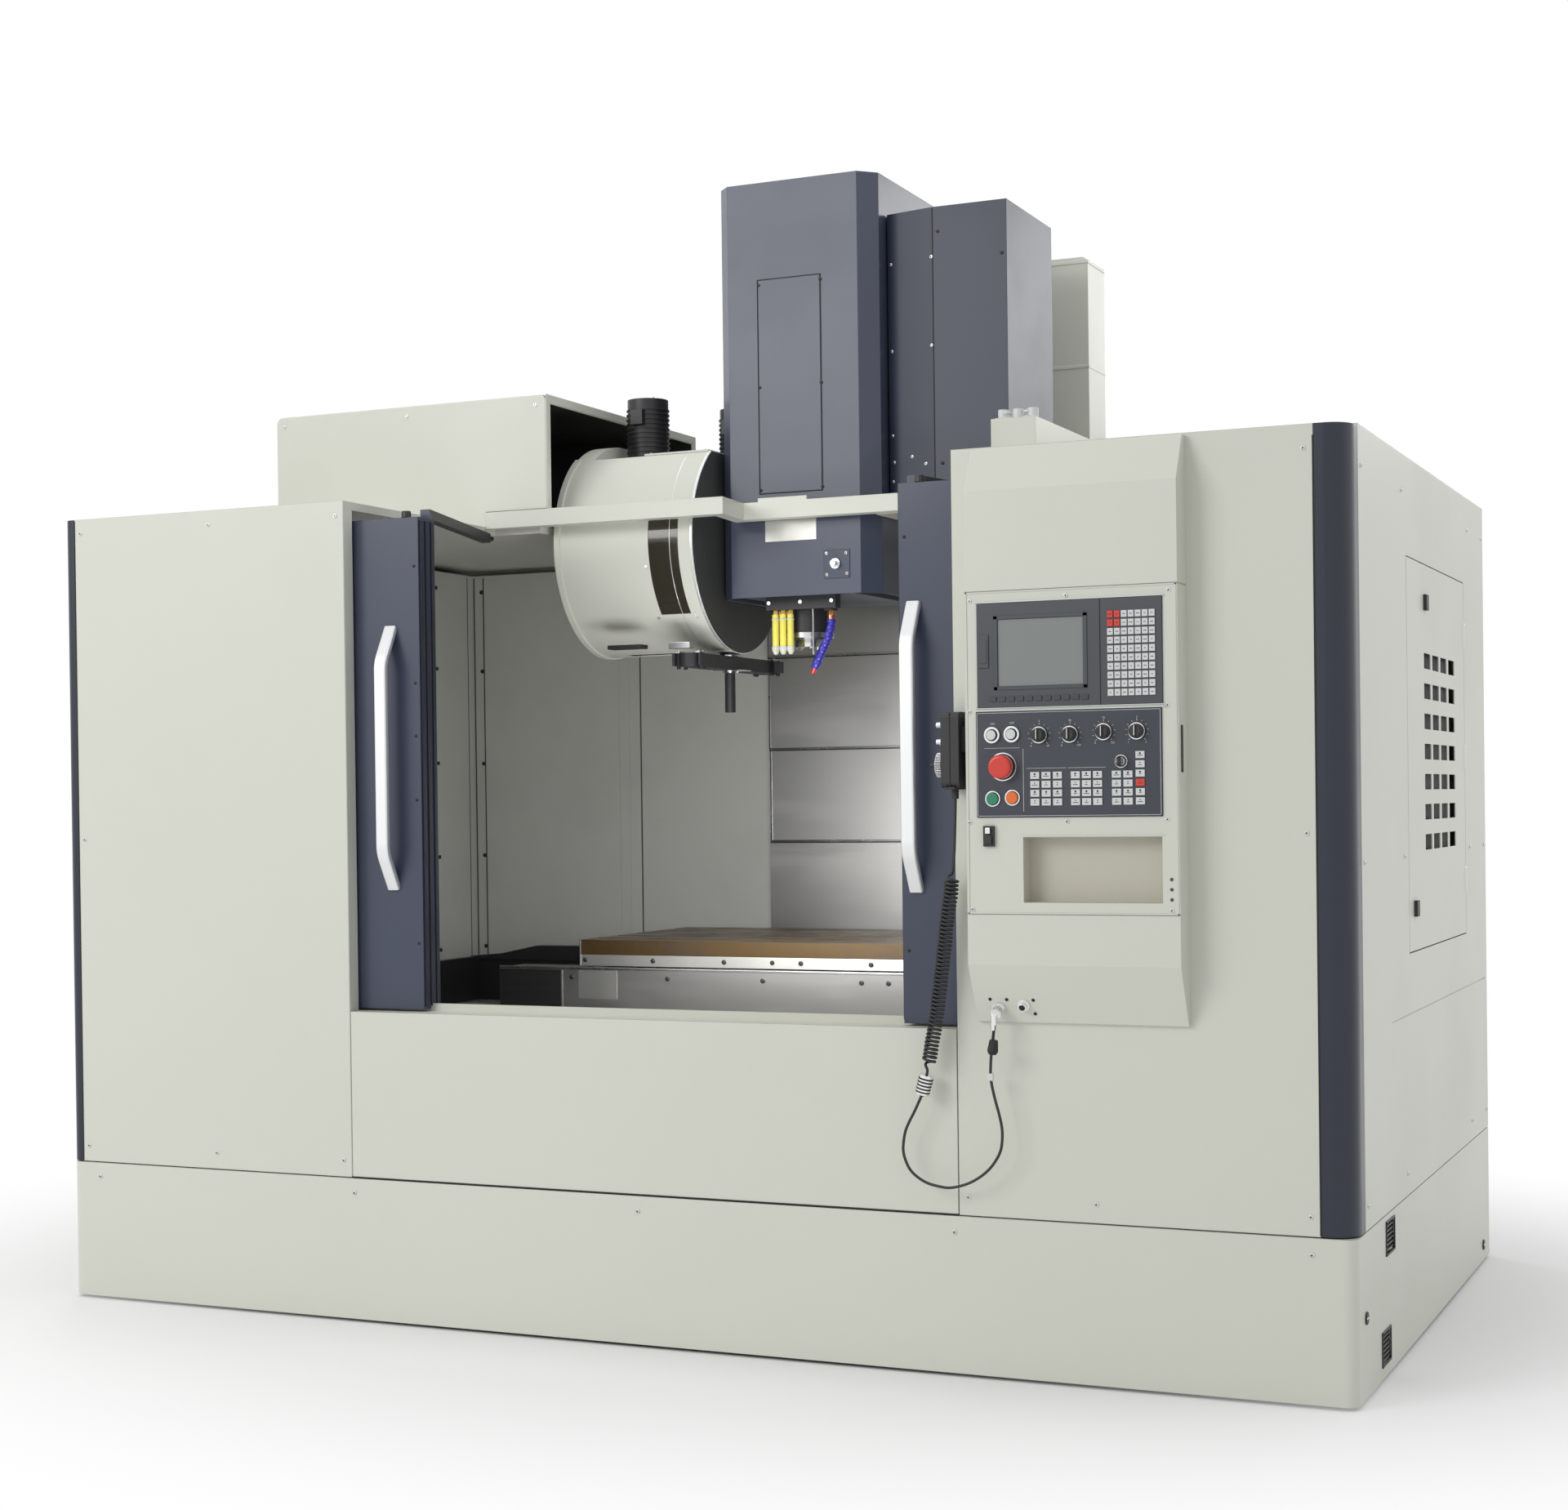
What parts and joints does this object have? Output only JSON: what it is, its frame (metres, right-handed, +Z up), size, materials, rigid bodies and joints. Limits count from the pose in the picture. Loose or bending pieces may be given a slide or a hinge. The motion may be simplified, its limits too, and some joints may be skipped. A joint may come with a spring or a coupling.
{
  "type": "cnc machining center",
  "caption": "Vertical machining centre in a cream and slate sheet-metal enclosure with sliding doors, side tool magazine, operator panel and pendant.",
  "frame": {"origin": "on the floor, under the middle of the machine's outline", "axes": "+X to the operator's right, +Y from the doors to the column, +Z up"},
  "size_m": [3.609, 2.59, 3.16],
  "materials": {
    "cream_paint": "semi-gloss, fine orange peel",
    "roof_paint": "satin",
    "slate_paint": "semi-gloss, fine orange peel",
    "liner_paint": "satin",
    "stainless": "brushed",
    "casting_paint": "thick satin paint on casting",
    "ground_steel": "ground and oiled",
    "oiled_iron": "ground, brown rust-preventing oil",
    "black_metal": "satin",
    "black_plastic": "fine grained",
    "panel_face": "smooth film",
    "clear_amber": "clear brown",
    "red_plastic": "glossy",
    "green_plastic": "glossy",
    "orange_plastic": "glossy",
    "coolant_fittings": "smooth",
    "handle_metal": "satin anodised",
    "plug_metal": "polished"
  },
  "bodies": {
    "frame": {"base_casting": "casting_paint", "levelling_feet": "black_metal", "skirt": "cream_paint", "left_front_panel": "cream_paint", "right_front_panel": "cream_paint", "front_apron": "cream_paint", "corner_posts": "slate_paint", "side_panels": "cream_paint", "rear_panels": "cream_paint", "roof_panels": "roof_paint", "magazine_hood": "cream_paint", "top_beam": "cream_paint", "inner_walls": "liner_paint", "chip_tray": "stainless", "column": "casting_paint", "fixed_rails": "ground_steel", "servo_motors": "black_metal", "side_cover": "slate_paint", "roof_boxes": "cream_paint", "magazine_cover": "cream_paint", "magazine_window": "clear_amber", "control_box": "cream_paint", "display_unit": "black_plastic", "operator_panel": "panel_face", "pendant": "black_plastic", "curly_cord": "black_plastic", "pendant_lead": "black_plastic", "cord_fittings": "plug_metal"},
    "saddle": {"saddle": "casting_paint", "x_drive": "ground_steel", "saddle_covers": "stainless"},
    "table": {"table": "oiled_iron"},
    "x_screw": {"x_screw": "ground_steel"},
    "y_screw": {"y_screw": "ground_steel"},
    "z_screw": {"z_screw": "ground_steel"},
    "head": {"headstock": "casting_paint", "head_cover": "slate_paint", "coolant_lines": "coolant_fittings", "spindle_motor": "black_metal", "z_cover_upper": "stainless"},
    "spindle": {"spindle": "ground_steel"},
    "z_cover_middle": {"z_cover_middle": "stainless"},
    "z_cover_lower": {"z_cover_lower": "stainless"},
    "left_door": {"left_door": "slate_paint", "left_handle": "handle_metal"},
    "right_door": {"right_door": "slate_paint", "right_handle": "handle_metal"},
    "magazine_disc": {"magazine_disc": "black_metal"},
    "tool_pot": {"tool_pot": "black_plastic"},
    "changer_hub": {"changer_hub": "ground_steel"},
    "changer_arm": {"changer_arm": "black_metal"},
    "emergency_stop": {"emergency_stop": "red_plastic"},
    "start_button": {"start_button": "green_plastic"},
    "hold_button": {"hold_button": "orange_plastic"},
    "selector_1": {"selector_1": "black_plastic"},
    "selector_2": {"selector_2": "black_plastic"},
    "selector_3": {"selector_3": "black_plastic"},
    "selector_4": {"selector_4": "black_plastic"},
    "cabinet_door": {"cabinet_door": "cream_paint"},
    "handwheel": {"handwheel": "black_plastic"}
  },
  "joints": [
    {"name": "saddle_slide", "type": "slide", "parent": "frame", "child": "saddle", "axis": [0, 1, 0], "range_m": [-0.3, 0.3]},
    {"name": "table_slide", "type": "slide", "parent": "saddle", "child": "table", "axis": [1, 0, 0], "range_m": [-0.759, 0.541]},
    {"name": "head_slide", "type": "slide", "parent": "frame", "child": "head", "axis": [0, 0, 1], "range_m": [-0.7, 0]},
    {"name": "z_cover_middle_slide", "type": "slide", "parent": "frame", "child": "z_cover_middle", "axis": [0, 0, 1], "range_m": [-0.467, 0]},
    {"name": "z_cover_lower_slide", "type": "slide", "parent": "frame", "child": "z_cover_lower", "axis": [0, 0, 1], "range_m": [-0.2335, 0]},
    {"name": "x_screw_turn", "type": "hinge", "parent": "saddle", "child": "x_screw", "pos_m": [0, -0.055, 0.852], "axis": [1, 0, 0], "continuous": true},
    {"name": "y_screw_turn", "type": "hinge", "parent": "frame", "child": "y_screw", "pos_m": [0, -0.185, 0.548], "axis": [0, 1, 0], "continuous": true},
    {"name": "z_screw_turn", "type": "hinge", "parent": "frame", "child": "z_screw", "pos_m": [0, 0.655, 2], "axis": [0, 0, 1], "continuous": true},
    {"name": "spindle_turn", "type": "hinge", "parent": "head", "child": "spindle", "pos_m": [0, -0.055, 2], "axis": [0, 0, 1], "continuous": true},
    {"name": "left_door_slide", "type": "slide", "parent": "frame", "child": "left_door", "axis": [1, 0, 0], "range_m": [0, 0.681]},
    {"name": "right_door_slide", "type": "slide", "parent": "frame", "child": "right_door", "axis": [1, 0, 0], "range_m": [-0.682, 0]},
    {"name": "magazine_turn", "type": "hinge", "parent": "frame", "child": "magazine_disc", "pos_m": [-0.53, -0.055, 2.135], "axis": [1, 0, 0], "continuous": true},
    {"name": "pot_tilt", "type": "hinge", "parent": "magazine_disc", "child": "tool_pot", "pos_m": [-0.494, -0.055, 1.975], "axis": [0, 1, 0], "range_deg": [0, 90]},
    {"name": "changer_turn", "type": "hinge", "parent": "frame", "child": "changer_hub", "pos_m": [-0.262, -0.055, 1.9], "axis": [0, 0, 1], "range_deg": [0, 270]},
    {"name": "changer_lift", "type": "slide", "parent": "changer_hub", "child": "changer_arm", "axis": [0, 0, 1], "range_m": [-0.11, 0]},
    {"name": "emergency_stop_push", "type": "slide", "parent": "frame", "child": "emergency_stop", "axis": [0, 1, 0], "range_m": [0, 0.005]},
    {"name": "start_push", "type": "slide", "parent": "frame", "child": "start_button", "axis": [0, 1, 0], "range_m": [0, 0.0035], "stiffness_N_per_m": 600, "springref_m": -0.002},
    {"name": "hold_push", "type": "slide", "parent": "frame", "child": "hold_button", "axis": [0, 1, 0], "range_m": [0, 0.0035], "stiffness_N_per_m": 600, "springref_m": -0.002},
    {"name": "selector_1_turn", "type": "hinge", "parent": "frame", "child": "selector_1", "pos_m": [1.1, -1.275, 1.521], "axis": [0, 1, 0], "range_deg": [-150, 150]},
    {"name": "selector_2_turn", "type": "hinge", "parent": "frame", "child": "selector_2", "pos_m": [1.174, -1.275, 1.521], "axis": [0, 1, 0], "range_deg": [-150, 150]},
    {"name": "selector_3_turn", "type": "hinge", "parent": "frame", "child": "selector_3", "pos_m": [1.254, -1.275, 1.525], "axis": [0, 1, 0], "range_deg": [-150, 150]},
    {"name": "selector_4_turn", "type": "hinge", "parent": "frame", "child": "selector_4", "pos_m": [1.332, -1.275, 1.525], "axis": [0, 1, 0], "range_deg": [-150, 150]},
    {"name": "cabinet_door_swing", "type": "hinge", "parent": "frame", "child": "cabinet_door", "pos_m": [1.8, 0.422, 1.4715], "axis": [0, 0, 1], "range_deg": [0, 110]},
    {"name": "handwheel_turn", "type": "hinge", "parent": "frame", "child": "handwheel", "pos_m": [0.85, -1.227, 1.456], "axis": [1, 0, 0], "continuous": true}
  ],
  "couplings": [
    {"joint": "x_screw_turn", "follows": "table_slide", "rad_per_m": 314.16},
    {"joint": "y_screw_turn", "follows": "saddle_slide", "rad_per_m": 314.16},
    {"joint": "z_screw_turn", "follows": "head_slide", "rad_per_m": 314.16},
    {"joint": "z_cover_middle_slide", "follows": "head_slide", "ratio": 0.66666},
    {"joint": "z_cover_lower_slide", "follows": "head_slide", "ratio": 0.33333}
  ]
}
